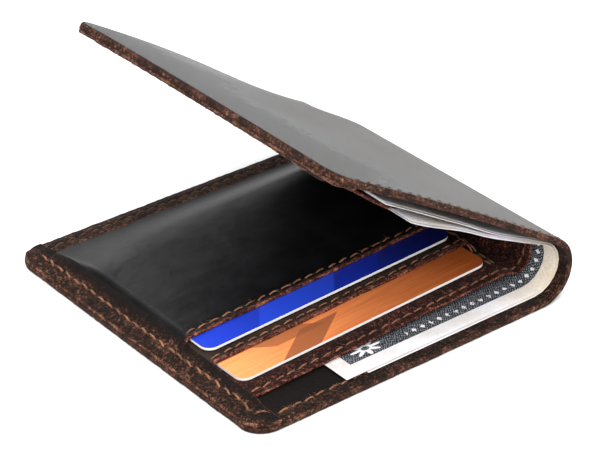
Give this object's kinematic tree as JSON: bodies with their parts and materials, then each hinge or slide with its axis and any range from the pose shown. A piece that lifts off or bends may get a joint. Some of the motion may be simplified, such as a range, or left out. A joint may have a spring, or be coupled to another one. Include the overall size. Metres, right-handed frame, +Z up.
{
  "type": "bifold wallet",
  "caption": "Half-open bifold leather wallet with a folding spine, card pockets, a full-length note compartment, sliding cards and a wad of notes.",
  "frame": {"origin": "centre of the flat underside of the lower panel", "axes": "+X from the free edge to the spine, +Y from the open front edge to the stitched back edge, +Z up from the table"},
  "size_m": [0.1102, 0.1116, 0.0673],
  "materials": {
    "shell_leather": "smooth waxed grain outside, brown suede flesh side and edges",
    "liner_suede": "reddish-brown suede",
    "border_suede": "mottled distressed brown suede",
    "pocket_black": "smooth black leather with a soft sheen",
    "pocket_brown": "dark brown pull-up leather",
    "thread": "waxed brown thread, matt",
    "card_orange": "printed, brushed copper look",
    "card_blue": "printed, glossy",
    "note_paper": "printed cotton paper"
  },
  "bodies": {
    "root": {"shell_lower_panel": "shell_leather", "liner_lower": "liner_suede", "border_free_edge": "border_suede", "border_back_edge": "border_suede", "pocket_middle": "pocket_brown", "pocket_front": "pocket_black", "thread_free_edge": "thread", "thread_back_edge": "thread", "thread_front_edge": "thread", "thread_liner_edge": "thread", "thread_pocket_middle": "thread", "thread_pocket_front": "thread", "thread_section_end": "thread"},
    "spine_1": {"shell_spine_1": "shell_leather", "liner_spine_1": "liner_suede"},
    "spine_2": {"shell_spine_2": "shell_leather", "liner_spine_2": "liner_suede"},
    "spine_3": {"shell_spine_3": "shell_leather", "liner_spine_3": "liner_suede"},
    "cover": {"shell_cover_panel": "shell_leather", "liner_cover": "liner_suede", "cover_border_free_edge": "border_suede", "cover_border_back_edge": "border_suede", "cover_pocket": "pocket_brown", "thread_cover_free_edge": "thread", "thread_cover_back_edge": "thread", "thread_cover_front_edge": "thread", "thread_cover_pocket": "thread"},
    "card_orange": {"card_orange": "card_orange"},
    "card_blue": {"card_blue": "card_blue"},
    "notes_lower": {"notes_lower": "note_paper"},
    "notes_bend_1": {"notes_bend_1": "note_paper"},
    "notes_bend_2": {"notes_bend_2": "note_paper"},
    "notes_bend_3": {"notes_bend_3": "note_paper"},
    "notes_cover": {"notes_cover": "note_paper"}
  },
  "joints": [
    {"name": "fold", "type": "hinge", "parent": "root", "child": "spine_1", "pos_m": [0.0525, 0, 0.0019], "axis": [0, 1, 0], "range_deg": [-7.5, 37.25]},
    {"name": "fold_2", "type": "hinge", "parent": "spine_1", "child": "spine_2", "pos_m": [0.05727, 0, 0.00553], "axis": [0, 1, 0], "range_deg": [-7.5, 37.25]},
    {"name": "fold_3", "type": "hinge", "parent": "spine_2", "child": "spine_3", "pos_m": [0.05888, 0, 0.01131], "axis": [0, 1, 0], "range_deg": [-7.5, 37.25]},
    {"name": "fold_4", "type": "hinge", "parent": "spine_3", "child": "cover", "pos_m": [0.05665, 0, 0.01688], "axis": [0, 1, 0], "range_deg": [-7.5, 37.25]},
    {"name": "notes_slide", "type": "slide", "parent": "root", "child": "notes_lower", "axis": [0, -1, 0], "range_m": [0, 0.075]},
    {"name": "notes_fold_1", "type": "hinge", "parent": "notes_lower", "child": "notes_bend_1", "pos_m": [0.0525, 0, 0.0019], "axis": [0, 1, 0], "range_deg": [-7.5, 37.25]},
    {"name": "notes_fold_2", "type": "hinge", "parent": "notes_bend_1", "child": "notes_bend_2", "pos_m": [0.05727, 0, 0.00553], "axis": [0, 1, 0], "range_deg": [-7.5, 37.25]},
    {"name": "notes_fold_3", "type": "hinge", "parent": "notes_bend_2", "child": "notes_bend_3", "pos_m": [0.05888, 0, 0.01131], "axis": [0, 1, 0], "range_deg": [-7.5, 37.25]},
    {"name": "notes_fold_4", "type": "hinge", "parent": "notes_bend_3", "child": "notes_cover", "pos_m": [0.05665, 0, 0.01688], "axis": [0, 1, 0], "range_deg": [-7.5, 37.25]},
    {"name": "card_orange_slide", "type": "slide", "parent": "root", "child": "card_orange", "axis": [0, -1, 0], "range_m": [0, 0.075]},
    {"name": "card_blue_slide", "type": "slide", "parent": "root", "child": "card_blue", "axis": [0, -1, 0], "range_m": [0, 0.09]}
  ],
  "couplings": [
    {"joint": "fold_2", "follows": "fold", "ratio": 1},
    {"joint": "fold_3", "follows": "fold", "ratio": 1},
    {"joint": "fold_4", "follows": "fold", "ratio": 1},
    {"joint": "notes_fold_1", "follows": "fold", "ratio": 1},
    {"joint": "notes_fold_2", "follows": "fold", "ratio": 1},
    {"joint": "notes_fold_3", "follows": "fold", "ratio": 1},
    {"joint": "notes_fold_4", "follows": "fold", "ratio": 1}
  ]
}
